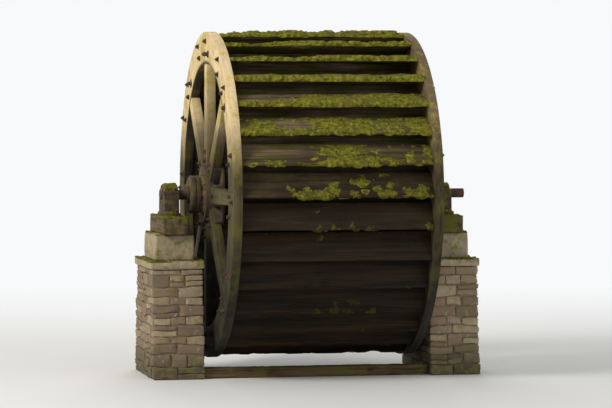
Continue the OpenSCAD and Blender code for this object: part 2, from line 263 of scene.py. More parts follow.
class Finish(Nodes):
    """A material built from expressions."""

    def __init__(self, name):
        self.material = bpy.data.materials.new(name)
        super().__init__(self.material)
        self.shader = self.tree.nodes["Principled BSDF"]
        self.place = self.node("ShaderNodeTexCoord", output="Object")
        self.x, self.y, self.z = self.parts(self.place)

    def parts(self, vector):
        first = self.node("ShaderNodeSeparateXYZ", inputs={0: vector})
        return [Signal(self, first.socket.node.outputs[k]) for k in range(3)]

    def stretch(self, vector, scale):
        return self.node("ShaderNodeMapping", inputs={"Vector": vector, "Scale": scale})

    def noise(self, scale, detail=4.0, rough=0.55, bend=0.0, vector=None):
        return self.node("ShaderNodeTexNoise", inputs={
            "Vector": vector or self.place, "Scale": scale, "Detail": detail, "Roughness": rough,
            "Distortion": bend})

    def cells(self, scale):
        return self.node(
            "ShaderNodeTexVoronoi", {}, {"Vector": self.place, "Scale": scale}, "Distance")

    def attribute(self, name, output="Vector"):
        return self.node("ShaderNodeAttribute", {"attribute_name": name}, output=output)

    def mix(self, factor, first, second):
        return self.node(
            "ShaderNodeMix", {"data_type": "RGBA"}, {0: factor, 6: first, 7: second}, 2)

    def coated(self, ground, *coats):
        """Lays colours over a ground, each by its own factor."""
        for factor, colour in coats:
            ground = self.mix(factor, ground, colour)
        return ground

    def radius(self):
        """Distance from the line of the axle."""
        off_axle = self.z - AXLE.z
        return (self.y * self.y + off_axle * off_axle).math("SQRT")

    def facing_up(self):
        """How far the surface faces the sky, from -1 to 1."""
        return self.parts(self.node("ShaderNodeNewGeometry", output="Normal"))[2]

    def damp(self, blotch):
        """How damp the masonry is, up to 1 at its foot."""
        return (self.z + blotch * 0.25).step(0.62, 0.18)

    def scale_and_grit(self):
        """Broad scale and fine grit of rusty iron."""
        return self.noise(9.0, 6.0, 0.65), self.noise(70.0, 5.0, 0.7)

    def dress(self, colour, rough, height, depth, metallic=0.0, shine=0.5):
        """Feeds the shader: depth is that of the bumps in metres, shine the specular level."""
        self.shader.inputs["Specular IOR Level"].default_value = shine
        bump = self.node(
            "ShaderNodeBump", {}, {"Height": height, "Strength": 1.0, "Distance": depth}, "Normal")
        sockets = {"Base Color": colour, "Roughness": rough, "Metallic": metallic, "Normal": bump}
        for name, value in sockets.items():
            self.feed(self.shader.inputs[name], value)


# Finishes


def timber_pattern(finish, low, high):
    """Height of the wood along its grain, then its tone, its fibres and its cracks."""
    grain = finish.attribute("grain")

    def along(scale, *choices):
        return finish.noise(1.0, *choices, vector=finish.stretch(grain, scale))

    fibres = along((2.0, 60.0, 60.0), 5.0, 0.6)
    rings = along((0.8, 13.0, 13.0), 3.0, 0.5, 0.4)
    split = along((0.5, 26.0, 26.0), 1.0, 0.4)
    where = along((1.3, 5.0, 5.0), 2.0)
    cracks = (split - 0.5).math("ABSOLUTE").step(0.012, 0.003) * where.step(0.5, 0.62)
    height = fibres * 0.5 + rings * 0.6 - cracks * 1.4
    return height, (rings * 0.7 + fibres * 0.5).step(low, high), fibres, cracks


def board_finish(finish):
    """Elm of the buckets: bare, mossy and grey above; wet and nearly black below and inside, partly
    as painted shade.
    """
    timber = settings("timber")
    height, tone, fibres, cracks = timber_pattern(finish, 0.42, 0.78)
    patch = finish.noise(1.6, 5.0, 0.62, vector=finish.stretch(finish.place, (1.1, 2.6, 2.6)))
    stain = finish.noise(1.0, 3.0, vector=finish.stretch(finish.place, (4.0, 1.0, 1.0)))
    high = (finish.z + patch * 0.9 - finish.x * 0.12).step(AXLE.z + 0.45, AXLE.z + 1.35)
    # Darker towards the foot of the wheel: wet wood and painted shade
    low = (finish.z + patch * 0.5).step(AXLE.z + 1.0, AXLE.z - 0.6)
    # Darker inside the sole, on the faces that look to the axle: damp wood and painted shade
    inside = finish.radius().step(SOLE_R - 0.006, SOLE_R - 0.018)
    film = patch.step(0.44, 0.62) * (0.12 + high * 0.78)
    bare = finish.mix(tone, timber.bare_dark, timber.bare)
    sodden_and_shaded = finish.mix(tone, timber.soaked, srgb(46, 34, 20))
    body = finish.coated(
        finish.mix(tone * 0.4, timber.wet, timber.bare_dark),
        (high, finish.mix(stain.step(0.35, 0.7) * 0.5, bare, timber.bare_dark)),
        (film.clamp(), finish.mix(tone, srgb(56, 60, 18), timber.film)),
        # Painted shade with the dark of wet wood, below and inside
        (low, sodden_and_shaded),
        (inside * 0.9, sodden_and_shaded),
        (cracks * 0.7, srgb(16, 13, 8)),
    )
    rough = 0.9 - (1 - high) * 0.25 + fibres * 0.12
    finish.dress(body, rough, height, 0.0035, shine=0.14)


def shroud_finish(finish):
    """Oak of the shrouds and arms: cream with painted sunlight on the bank side, grey brown with
    painted shade on the mill side.
    """
    timber = settings("timber")
    height, tone, fibres, cracks = timber_pattern(finish, 0.4, 0.8)
    patch = finish.noise(2.4, 5.0, 0.62)
    spots = finish.noise(14.0, 4.0, 0.6)
    # The bank side, painted as sunlit; the mill side, painted as shaded
    sunny = finish.x.step(0.2, -0.9)
    lichen = (spots * 0.6 + patch * 0.6).step(0.56, 0.74) * (0.35 + sunny * 0.5)
    # Painted shadow on the lower part of the shrouds and arms, with damp wood
    low = (finish.z + patch * 0.8).step(AXLE.z + 1.4, AXLE.z + 0.6)
    # Darker still below the axle: wet wood and painted shade
    soaked = (finish.z + patch * 0.5).step(AXLE.z + 0.2, AXLE.z - 0.9)
    radius = finish.radius()
    # Painted shade on the inner edge of the ring, where it faces the axle, and on a narrow band of
    # the face next to it
    worn = (radius + patch * 0.05).step(SHROUD_INNER_R + 0.075, SHROUD_INNER_R + 0.02)
    inner_edge_shade = worn * radius.step(SHROUD_INNER_R - 0.03, SHROUD_INNER_R - 0.005)
    green = (patch * 0.6 + finish.noise(6.0, 5.0) * 0.5).step(0.53, 0.68)
    shaded = finish.mix(tone, srgb(42, 36, 21), srgb(80, 70, 41))
    # Lit and shaded copies of the oak: painted sunlight on the bank side, painted shade on the mill
    # side
    base = finish.mix(sunny, timber.shade, timber.cream)
    base = finish.coated(
        finish.mix(tone * 0.75, finish.mix(0.3, base, timber.bare_dark), base),
        (lichen, timber.lichen),
        # Painted shadow below, with damp wood
        (low * 0.97, shaded),
        # Darker towards the hub: painted shade
        (radius.step(1.4, 0.8) * 0.6, shaded),
        # Painted shade on the inner edge of the ring
        (inner_edge_shade * 0.96, finish.mix(tone, timber.soaked, srgb(50, 41, 25))),
        # Wet wood with painted shade at the foot
        (soaked, finish.mix(tone, timber.soaked, srgb(40, 36, 20))),
        (green * (0.3 + low * 0.25 - soaked * 0.35), timber.film),
        (cracks * 0.65, srgb(30, 24, 16)),
    )
    finish.dress(base, 0.92 - soaked * 0.3 + fibres * 0.06, height, 0.003, shine=0.3)


def beam_finish(finish, dry, dark, green_share):
    """Oak of the axle, wedges, bearers and sill."""
    height, tone, fibres, cracks = timber_pattern(finish, 0.4, 0.8)
    patch = finish.noise(4.0, 5.0, 0.6)
    green = (patch + finish.facing_up() * 0.12).step(0.5, 0.62) * green_share
    base = finish.coated(
        finish.mix(tone, srgb(*dark), srgb(*dry)),
        (green.clamp(), settings("timber").film),
        (cracks * 0.7, srgb(20, 15, 9)),
    )
    finish.dress(base, 0.86 + fibres * 0.1, height, 0.004, shine=0.25)


def moss_finish(finish, shade):
    """Moss, dark towards the foot of the wheel by a share of its colour: wet moss and painted
    shade.
    """
    moss = settings("moss")
    tufts = finish.noise(90.0, 5.0, 0.7)
    clumps = finish.noise(22.0, 4.0, 0.6)
    tone = tufts * 0.5 + clumps * 0.5
    brown = finish.noise(7.0, 5.0, 0.65).step(0.5, 0.66)
    # Painted shade with the dark of wet moss, towards the foot of the wheel
    low = (finish.z + finish.noise(3.0, 3.0) * 0.5).step(AXLE.z + 0.9, AXLE.z - 0.5)
    body = finish.coated(
        finish.mix(tone.step(0.36, 0.56), moss.dark, moss.mid),
        (tone.step(0.5, 0.7), moss.light),
        (brown * 0.7, finish.mix(tufts, srgb(58, 46, 22), srgb(122, 102, 44))),
        (low * shade, srgb(26, 29, 10)),
    )
    finish.dress(body, 1.0, tufts * 0.8 + clumps * 0.7, 0.007, shine=0.2)


def iron_finish(finish, growth):
    """Rusty iron with a share of green growth."""
    iron = settings("iron")
    moss = settings("moss")
    scale, grit = finish.scale_and_grit()
    pits = finish.cells(60.0)
    green = (finish.noise(6.0, 5.0) + finish.facing_up() * 0.06).step(0.5, 0.66) * growth
    body = finish.coated(
        finish.mix(scale.step(0.42, 0.66), iron.skin, iron.rust),
        ((scale * 0.7 + grit * 0.4).step(0.62, 0.76) * 0.8, iron.bright),
        (green, finish.mix(grit, moss.dark, moss.mid)),
    )
    height = grit * 0.5 + pits.step(0.0, 0.5) * 0.4 + scale * 0.6
    finish.dress(body, 0.78 + grit * 0.18, height, 0.0015)


def journal_finish(finish):
    """Gudgeons: polished where they turn in the brasses, rusty elsewhere."""
    iron = settings("iron")
    scale, grit = finish.scale_and_grit()
    lines = finish.noise(1.0, 2.0, vector=finish.stretch(finish.place, (300.0, 3.0, 3.0)))
    low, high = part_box("brasses_mill")
    out = finish.x.math("ABSOLUTE")
    polished = out.step(low.x - 0.03, low.x + 0.01) * out.step(high.x + 0.03, high.x - 0.01)
    rusty = finish.mix(scale.step(0.4, 0.62), iron.skin, iron.rust)
    body = finish.mix(polished, rusty, finish.mix(lines, iron.skin, iron.worn))
    finish.dress(body, 0.8 - polished * 0.45 + grit * 0.1, grit * (1 - polished), 0.0012, polished)


def brass_finish(finish):
    """Tarnished brass."""
    tarnish = finish.noise(16.0, 5.0, 0.6)
    body = finish.mix(tarnish.step(0.35, 0.65), srgb(84, 66, 34), settings("iron").brass)
    finish.dress(body, 0.3 + tarnish * 0.35, tarnish, 0.0006, 1.0)


def stone_finish(finish, tones, moss_share):
    """Limestone: each stone has its own tone from the attribute named tone."""
    first, middle, last = (getattr(settings("masonry"), tone) for tone in tones)
    grains = finish.noise(120.0, 4.0, 0.7)
    blotch = finish.noise(9.0, 6.0, 0.65)
    pits = finish.cells(38.0).step(0.02, 0.35)
    lichen = finish.noise(19.0, 5.0, 0.6).step(0.6, 0.68) * 0.65
    damp = finish.damp(blotch)
    growth = finish.noise(11.0, 5.0) + finish.facing_up() * 0.12 + damp * 0.06
    body = finish.coated(
        finish.node(
            "ShaderNodeValToRGB", inputs={0: finish.attribute("tone", "Fac")},
            stops=[(0.0, first), (0.45, middle), (1.0, last)]),
        (blotch.step(0.35, 0.7) * 0.5, first),
        (grains.step(0.45, 0.7) * 0.35, last),
        (lichen, srgb(176, 172, 150)),
        (damp * 0.75, srgb(56, 50, 34)),
        ((growth.step(0.52, 0.64) * moss_share).clamp(), settings("moss").mid),
    )
    finish.dress(body, 0.92, blotch * 1.2 + grains * 0.25 + pits * 0.5, 0.006)


def mortar_finish(finish):
    """Lime mortar, damp at the foot."""
    grains = finish.noise(160.0, 4.0, 0.75)
    blotch = finish.noise(12.0, 5.0, 0.6)
    body = finish.mix(blotch.step(0.3, 0.7), srgb(110, 99, 78), settings("masonry").mortar)
    body = finish.mix(finish.damp(blotch) * 0.7, body, srgb(52, 47, 33))
    finish.dress(body, 0.96, grains + blotch, 0.004)


# Each finish: what makes it, and the values that it is made with
LOOKS = {
    "bucket_elm": (board_finish,),
    "shroud_oak": (shroud_finish,),
    "axle_oak": (beam_finish, (128, 108, 78), (64, 50, 34), 0.55),
    "bearer_oak": (beam_finish, (120, 104, 74), (58, 48, 32), 0.9),
    "sill_oak": (beam_finish, (104, 84, 56), (46, 36, 23), 0.5),
    # Shares of painted shade and wet dark on the moss towards the foot of the wheel
    "board_moss": (moss_finish, 0.85),
    "pier_moss": (moss_finish, 0.3),
    "rusty_iron": (iron_finish, 0.45),
    "mossy_iron": (iron_finish, 0.95),
    "gudgeon_iron": (journal_finish,),
    "bearing_brass": (brass_finish,),
    "dressed_stone": (stone_finish, ("grey", "pale", "pale"), 0.8),
    "rubble_stone": (stone_finish, ("grey", "warm", "pale"), 0.35),
    "lime_mortar": (mortar_finish,),
}


@functools.cache
def look(name):
    """A finish by its name, made when it is first asked for."""
    make, *values = LOOKS[name]
    finish = Finish(name)
    make(finish, *values)
    return finish.material


# Shaping helpers


def deselect_all():
    for other in bpy.context.selected_objects:
        other.select_set(False)


def select_only(*objects):
    deselect_all()
    for item in objects:
        item.select_set(True)
    bpy.context.view_layer.objects.active = objects[0]


def edit(item, *steps):
    """Runs edit mode operators, each a function, on all of an object's mesh."""
    select_only(item)
    bpy.ops.object.mode_set(mode="EDIT")
    bpy.ops.mesh.select_all(action="SELECT")
    for step in steps:
        step()
    bpy.ops.object.mode_set(mode="OBJECT")


def modify(item, kind, **choices):
    """Adds a modifier and applies it."""
    modifier = item.modifiers.new(kind.lower(), kind)
    for key, value in choices.items():
        setattr(modifier, key, value)
    select_only(item)
    bpy.ops.object.modifier_apply(modifier=modifier.name)


def join(name, objects):
    select_only(*objects)
    if len(objects) > 1:
        bpy.ops.object.join()
    whole = bpy.context.view_layer.objects.active
    whole.name = name
    whole.data.name = name
    return whole


def add_primitive(adder, **choices):
    """Adds a primitive by itself and puts its place into its mesh."""
    deselect_all()
    adder(**choices)
    item = bpy.context.active_object
    select_only(item)
    bpy.ops.object.transform_apply(location=True, rotation=True, scale=True)
    return item


def copy_of(item, matrix=Matrix()):
    twin = bpy.data.objects.new(item.name, item.data.copy())
    bpy.context.scene.collection.objects.link(twin)
    twin.data.transform(matrix)
    return twin


def solid_copy(name, node):
    """A copy of a CAD node as one closed mesh with flat faces left whole."""
    whole = join(name, [copy_of(frame["nodes"][node])])
    whole.data.materials.clear()
    edit(
        whole,
        lambda: bpy.ops.mesh.remove_doubles(threshold=0.00002),
        lambda: bpy.ops.mesh.dissolve_limited(angle_limit=math.radians(0.4)),
    )
    return whole


def soften(item, width, segments=2, angle=32):
    modify(item, "BEVEL", width=width, segments=segments, limit_method="ANGLE",
           angle_limit=math.radians(angle), use_clamp_overlap=True, miter_outer="MITER_ARC")


def roughen(item, *waves):
    """Moves the surface by cloudy patterns fixed in space, each by its strength and its size."""
    for strength, size in waves:
        name = f"clouds_{size}"
        clouds = bpy.data.textures.get(name) or bpy.data.textures.new(name, "CLOUDS")
        clouds.noise_scale = size
        clouds.noise_depth = 2
        modify(item, "DISPLACE", texture=clouds, texture_coords="GLOBAL", strength=strength,
               mid_level=0.5)


def smooth(item, angle=35):
    select_only(item)
    bpy.ops.object.shade_smooth_by_angle(angle=math.radians(angle))


def coordinates(item):
    flat = np.empty(len(item.data.vertices) * 3, np.float64)
    item.data.vertices.foreach_get("co", flat)
    return flat.reshape(-1, 3)


def move_to(item, points):
    item.data.vertices.foreach_set("co", np.ascontiguousarray(points, np.float64).ravel())
    item.data.update()


def edge_ends(mesh):
    """The two vertices of each edge."""
    ends = np.empty(len(mesh.edges) * 2, np.int32)
    mesh.edges.foreach_get("vertices", ends)
    return ends.reshape(-1, 2)


def islands(item):
    """Number of the separate solid that each vertex belongs to."""
    first, second = edge_ends(item.data).T
    label = np.arange(len(item.data.vertices))
    while True:
        low = np.minimum(label[first], label[second])
        lower = label.copy()
        np.minimum.at(lower, first, low)
        np.minimum.at(lower, second, low)
        lower = lower[lower]
        if np.array_equal(lower, label):
            return np.unique(label, return_inverse=True)[1]
        label = lower


def ripple(place, scale, shift=(0, 0, 0)):
    """Smooth noise from -1 to 1 at a place that is stretched and then shifted."""
    return noise.noise(Vector([p * s + o for p, s, o in zip(place, scale, shift)]))


def stand_on_floor(item):
    """Flattens what a rough underside pushes below the floor."""
    points = coordinates(item)
    points[:, 2] = np.maximum(points[:, 2], 0.0)
    move_to(item, points)


def set_attribute(item, name, kind, values):
    layer = item.data.attributes.new(name, kind, "POINT")
    key = "vector" if kind == "FLOAT_VECTOR" else "value"
    layer.data.foreach_set(key, np.ascontiguousarray(values, np.float32).ravel())


def grain_attribute(item, seed):
    """Gives each board its own grain: along its longest way, then across it, then through it."""
    apart = 40
    points = coordinates(item)
    label = islands(item)
    grain = np.zeros_like(points)
    chance = np.random.default_rng(seed)
    for number in range(label.max() + 1):
        mine = label == number
        part = points[mine]
        centred = part - part.mean(axis=0)
        ways = np.linalg.eigh(centred.T @ centred)[1][:, ::-1]
        grain[mine] = centred @ ways + chance.uniform(-apart, apart, 3)
    set_attribute(item, "grain", "FLOAT_VECTOR", grain)


def cut_across(item, count):
    """Cuts boards by planes across their length, so that they can bend and wear between them."""
    def planes():
        for x in np.linspace(-SHROUD_IN_X, SHROUD_IN_X, count):
            bpy.ops.mesh.select_all(action="SELECT")
            bpy.ops.mesh.bisect(plane_co=(x, 0, 0), plane_no=(1, 0, 0))
    edit(item, planes)


def worn_copy(name, node, wear, *waves, segments=2, cuts=0, shape=None, seed=None):
    """A CAD node with worn edges and rough faces, and with a grain where it has a seed."""
    piece = solid_copy(name, node)
    soften(piece, wear, segments)
    if cuts:
        cut_across(piece, cuts)
    roughen(piece, *waves)
    if shape:
        shape(piece)
    if seed is not None:
        grain_attribute(piece, seed)
    smooth(piece)
    return piece


def even_block(name, node, rounding, grid, *waves):
    """A CAD block with rounded edges, an even mesh and rough faces."""
    block = solid_copy(name, node)
    soften(block, rounding, 3, 60)
    modify(block, "REMESH", mode="VOXEL", voxel_size=grid)
    roughen(block, *waves)
    return block


def finished(item, body, slot, finish, *nodes):
    """Gives a piece its finish and its body, and hides the nodes that it stands for."""
    item.data.materials.clear()
    item.data.materials.append(look(finish))
    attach(item, body)
    if nodes:
        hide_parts(*nodes)


def paint_node(node, finish):
    """Gives a CAD node that is shown as it is its finish."""
    mesh = frame["nodes"][node].data
    mesh.materials.clear()
    mesh.materials.append(look(finish))


# Fixings, made on the plane z = 0 and then copied to their places


def nut_and_washer():
    """A square nut on a round washer with the end of its bolt."""
    width = settings("fixing").nut
    plate = width * 0.14
    tall = width * 0.62
    cylinder = bpy.ops.mesh.primitive_cylinder_add
    washer = add_primitive(cylinder, vertices=18, radius=width * 0.92, depth=plate * 2)
    nut = add_primitive(
        bpy.ops.mesh.primitive_cube_add, size=1, location=(0, 0, plate + tall / 2),
        scale=(width, width, tall))
    edit(nut, lambda: bpy.ops.mesh.subdivide(number_cuts=1))
    stub = add_primitive(
        cylinder, vertices=12, radius=width * 0.27, depth=width * 0.5,
        location=(0, 0, plate + tall + width * 0.05))
    fixing = join("nut", [washer, nut, stub])
    soften(fixing, width * 0.06, 1, 40)
    return fixing


def nail_head():
    """The head of a rose nail: a rough disc beaten to a low crown."""
    width = settings("fixing").nail
    head = add_primitive(
        bpy.ops.mesh.primitive_cone_add, vertices=5, radius1=width * 0.56, radius2=width * 0.2,
        depth=width * 0.5, location=(0, 0, width * 0.05))
    soften(head, width * 0.09, 1, 25)
    roughen(head, (width * 0.22, width * 0.8))
    return head


def standing(place, direction, turn):
    """Matrix that stands a fixing on a place with its axis along a direction."""
    upright = Vector(direction).normalized().to_track_quat("Z", "Y").to_matrix().to_4x4()
    return Matrix.Translation(place) @ upright @ Matrix.Rotation(turn, 4, "Z")


def repeated(name, pattern, matrices):
    """Copies of one fixing as one mesh."""
    copies = [copy_of(pattern, matrix) for matrix in matrices]
    bpy.data.objects.remove(pattern)
    whole = join(name, copies)
    smooth(whole, 40)
    return whole


# Places on the CAD nodes


@functools.cache
def surface_tree(node):
    mesh = frame["nodes"][node].data
    return BVHTree.FromPolygons([v.co for v in mesh.vertices], [f.vertices for f in mesh.polygons])


def surface(node, start, direction):
    """Where a line first meets a CAD node."""
    place = surface_tree(node).ray_cast(Vector(start), Vector(direction))[0]
    if place is None:
        raise RuntimeError(f"no surface of {node} in line with {tuple(start)}")
    return place


def on_wheel(x, radius, turn, across=0.0):
    """Place on the wheel at a turn from +Y, moved across its radius."""
    return Vector((
        x,
        AXLE.y + radius * math.cos(turn) - across * math.sin(turn),
        AXLE.z + radius * math.sin(turn) + across * math.cos(turn),
    ))


@functools.cache
def front_boards():
    """Elbow, lip and underside of the lip of each front board, in the plane of the wheel."""
    rim_band = 0.05
    boards = []
    for bay in range(1, BAYS + 1):
        twin = solid_copy("outline", f"buckets_bay_{bay}")
        points = coordinates(twin)[:, 1:] - np.array([AXLE.y, AXLE.z])
        label = islands(twin)
        for number in range(label.max() + 1):
            corners = np.unique(points[label == number].round(5), axis=0)
            lip = corners[np.argmax(np.hypot(*corners.T))]
            if np.hypot(*lip) < RIM_R - rim_band:
                continue
            centre = corners.mean(axis=0)
            off = corners - centre
            ways = np.linalg.eigh(off.T @ off)[1]
            run, up = ways[:, 1], ways[:, 0]
            run = run * np.sign((lip - centre) @ run)
            up = up * np.sign((lip - centre) @ up)
            elbow = corners[np.argmax(off @ up - off @ run)]
            under = corners[np.argmax(off @ run - off @ up * 4)]
            boards.append({
                "bay": bay, "elbow": elbow, "lip": lip, "under": under, "run": run, "up": up})
        bpy.data.objects.remove(twin)
    return boards


# Sheets of moss


def grid_sheet(columns, rows):
    """A flat grid, with the column and the row of each of its corners."""
    sheet = add_primitive(
        bpy.ops.mesh.primitive_grid_add, size=1,
        x_subdivisions=columns - 1, y_subdivisions=rows - 1)
    places = (coordinates(sheet)[:, :2] + 0.5) * (columns - 1, rows - 1)
    column, row = np.rint(places).astype(int).T
    return sheet, column, row


def pinched(sheet):
    """Marks the corners at which faces of a sheet touch without sharing an edge."""
    mesh = sheet.data
    sides = np.empty(len(mesh.loops), np.int32)
    mesh.loops.foreach_get("edge_index", sides)
    rim = np.bincount(sides, minlength=len(mesh.edges)) == 1
    return np.bincount(edge_ends(mesh)[rim].ravel(), minlength=len(mesh.vertices)) > 2


def drop_faces(sheet, marked, rule=all):
    """Deletes the faces of a sheet whose corners are all marked, or any of them."""
    select_only(sheet)
    bpy.ops.object.mode_set(mode="EDIT")
    bpy.ops.mesh.select_mode(type="FACE")
    bpy.ops.mesh.select_all(action="DESELECT")
    bpy.ops.object.mode_set(mode="OBJECT")
    for face in sheet.data.polygons:
        face.select = rule(marked[v] for v in face.vertices)
    bpy.ops.object.mode_set(mode="EDIT")
    bpy.ops.mesh.delete(type="FACE")
    bpy.ops.object.mode_set(mode="OBJECT")


def cushion(sheet, height):
    """Makes a sheet of moss closed cushions, without its buried places and its crumbs."""
    crumb = 20
    back = 0.007
    lowest = -0.001
    drop_faces(sheet, height < lowest)
    while pinched(sheet).any():
        drop_faces(sheet, pinched(sheet), any)
    label = islands(sheet)
    drop_faces(sheet, np.bincount(label)[label] < crumb)
    if len(sheet.data.polygons):
        modify(sheet, "SOLIDIFY", thickness=back, offset=-1.0, use_rim=True)


# Operators, one for each group of pieces


class PieceOperator(bpy.types.Operator):
    """Shared by the operators that make pieces."""

    bl_options = {"REGISTER", "UNDO"}


class WHEEL_OT_buckets(PieceOperator):
    """Bucket boards of the eight bays, bowed, worn at the lips and nailed to their risers"""

    bl_idname = "water_wheel.buckets"
    bl_label = "Bucket boards"

    CUTS = 56
    # Sizes of the bow of a board and of the waves in its face
    BOW = 0.45
    WAVE = 0.07
    # Distances inside the rim at which the wear starts and is full
    WORN_FROM = 0.09
    WORN_FULL = 0.01

    def execute(self, context):
        timber = settings("timber")
        for bay in range(1, BAYS + 1):
            node = f"buckets_bay_{bay}"
            boards = worn_copy(
                f"bucket_boards_{bay}", node, timber.edge_wear, (timber.warp, self.BOW),
                (timber.warp * 0.4, self.WAVE), cuts=self.CUTS, shape=self.wear_lips, seed=bay)
            finished(boards, WHEEL, "elm", "bucket_elm", node)
        return {"FINISHED"}

    def wear_lips(self, boards):
        """Eats the lips away unevenly along the boards."""
        wear = settings("timber").lip_wear
        points = coordinates(boards)
        plane = points[:, 1:] - np.array([AXLE.y, AXLE.z])
        radius = np.hypot(*plane.T)
        near = (radius - (RIM_R - self.WORN_FROM)) / (self.WORN_FROM - self.WORN_FULL)
        near = np.clip(near, 0, 1)
        for k in np.nonzero(near > 0)[0]:
            place = points[k]
            worn = ripple(place, (4, 2, 2)) + 0.6 * ripple(place, (15, 6, 6))
            broken = max(0.0, ripple(place, (3.1, 7, 7), (9, 0, 0)) - 0.3) * 5
            depth = wear * near[k] * (max(0.0, worn + 0.25) + min(2.0, broken))
            points[k, 1:] -= plane[k] / radius[k] * depth
        move_to(boards, points)


class WHEEL_OT_sole(PieceOperator):
    """Sole boards that line the wheel behind the buckets"""

    bl_idname = "water_wheel.sole"
    bl_label = "Sole boards"

    def execute(self, context):
        timber = settings("timber")
        boards = worn_copy(
            "sole_lining", "sole_boards", timber.edge_wear * 0.6, (timber.warp * 0.6, 0.4),
            segments=1, cuts=12, seed=77)
        finished(boards, WHEEL, "elm", "bucket_elm", "sole_boards")
        return {"FINISHED"}


class WHEEL_OT_shrouds(PieceOperator):
    """Shroud rings of eight cants each"""

    bl_idname = "water_wheel.shrouds"
    bl_label = "Shrouds"

    SEED = 20
    WAVE = 0.25

    def execute(self, context):
        timber = settings("timber")
        for seed, side in enumerate(SIDES, self.SEED):
            node = f"shroud_{side}"
            ring = worn_copy(
                f"shroud_ring_{side}", node, timber.edge_wear,
                (timber.warp * 0.5, self.WAVE), seed=seed)
            finished(ring, WHEEL, "oak", "shroud_oak", node)
        return {"FINISHED"}


class WHEEL_OT_arms(PieceOperator):
    """Two sets of eight tapered arms"""

    bl_idname = "water_wheel.arms"
    bl_label = "Arms"

    SEED = 30
    WAVE = 0.3

    def execute(self, context):
        timber = settings("timber")
        for seed, side in enumerate(SIDES, self.SEED):
            node = f"arms_{side}"
            arms = worn_copy(
                f"arm_set_{side}", node, timber.edge_wear * 1.4,
                (timber.warp * 0.5, self.WAVE), seed=seed)
            finished(arms, WHEEL, "oak", "shroud_oak", node)
        return {"FINISHED"}


class WHEEL_OT_axle(PieceOperator):
    """Oak axle with its wedges and hoops"""

    bl_idname = "water_wheel.axle"
    bl_label = "Axle"

    def execute(self, context):
        wear = settings("timber").edge_wear
        axle = worn_copy("axle_tree", "axle", wear * 1.6, seed=41)
        finished(axle, WHEEL, "oak", "axle_oak", "axle")
        wedges = worn_copy("hub_wedge_set", "hub_wedges", wear, seed=42)
        finished(wedges, WHEEL, "oak", "axle_oak", "hub_wedges")
        hoops = worn_copy("axle_hoop_set", "axle_hoops", settings("iron").edge_wear)
        finished(hoops, WHEEL, "wrought", "rusty_iron", "axle_hoops")
        return {"FINISHED"}


class WHEEL_OT_hubs(PieceOperator):
    """Cast hubs, gudgeons and tie rods"""

    bl_idname = "water_wheel.hubs"
    bl_label = "Hubs"

    def execute(self, context):
        for side in SIDES:
            node = f"hub_{side}"
            hub = worn_copy(f"hub_casting_{side}", node, settings("iron").edge_wear)
            finished(hub, WHEEL, "iron", "rusty_iron", node)
            paint_node(f"gudgeon_{side}", "gudgeon_iron")
        paint_node("tie_rods", "rusty_iron")
        return {"FINISHED"}


class WHEEL_OT_wheel_bolts(PieceOperator):
    """Bolts through the scarfs of the cants, the tongues of the arms and the hubs"""

    bl_idname = "water_wheel.wheel_bolts"
    bl_label = "Bolts of the wheel"

    SEED = 11
    # Depth inside the rim, and degrees off the scarf or distance off the middle of the arm
    SCARF_BOLTS = ((0.10, -1.1), (0.26, 1.1))
    TONGUE_BOLTS = ((0.11, 0.03), (0.26, -0.03))
    HUB_BOLTS = (0.40, 0.50)

    def execute(self, context):
        chance = random.Random(self.SEED)
        for side, sign in SIDES.items():
            face = sign * SHROUD_OUT_X
            out = (sign, 0, 0)
            matrices = []
            for bay in range(BAYS):
                arm = bay * BAY_TURN
                scarf = arm + SCARF_TURN
                stands = [
                    (on_wheel(face, RIM_R - depth, scarf + math.radians(degrees)), out)
                    for depth, degrees in self.SCARF_BOLTS]
                stands += [
                    (on_wheel(face, RIM_R - depth, arm, across), out)
                    for depth, across in self.TONGUE_BOLTS]
                for radius in self.HUB_BOLTS:
                    inner = surface(f"hub_{side}", on_wheel(0, radius, arm), out)
                    stands += [(on_wheel(face, radius, arm), out), (inner, (-sign, 0, 0))]
                matrices += [standing(place, way, chance.uniform(0, 3)) for place, way in stands]
            bolts = repeated(f"wheel_bolts_{side}", nut_and_washer(), matrices)
            finished(bolts, WHEEL, "wrought", "rusty_iron")
        return {"FINISHED"}


class WHEEL_OT_nails(PieceOperator):
    """Nails that hold the front boards to their risers"""

    bl_idname = "water_wheel.nails"
    bl_label = "Nails"

    SEED = 12
    FROM_ELBOW = 0.019
    FROM_END = 0.06
    SLIP = 0.02

    def execute(self, context):
        chance = random.Random(self.SEED)
        reach = SHROUD_IN_X - self.FROM_END
        matrices = []
        for board in front_boards():
            line = board["elbow"] + board["run"] * self.FROM_ELBOW
            up = (0, *board["up"])
            for x in np.linspace(-reach, reach, settings("fixing").nails):
                x += chance.uniform(-self.SLIP, self.SLIP)
                place = (x, AXLE.y + line[0], AXLE.z + line[1])
                matrices.append(standing(place, up, chance.uniform(0, 1)))
        nails = repeated("board_nails", nail_head(), matrices)
        finished(nails, WHEEL, "wrought", "rusty_iron")
        return {"FINISHED"}


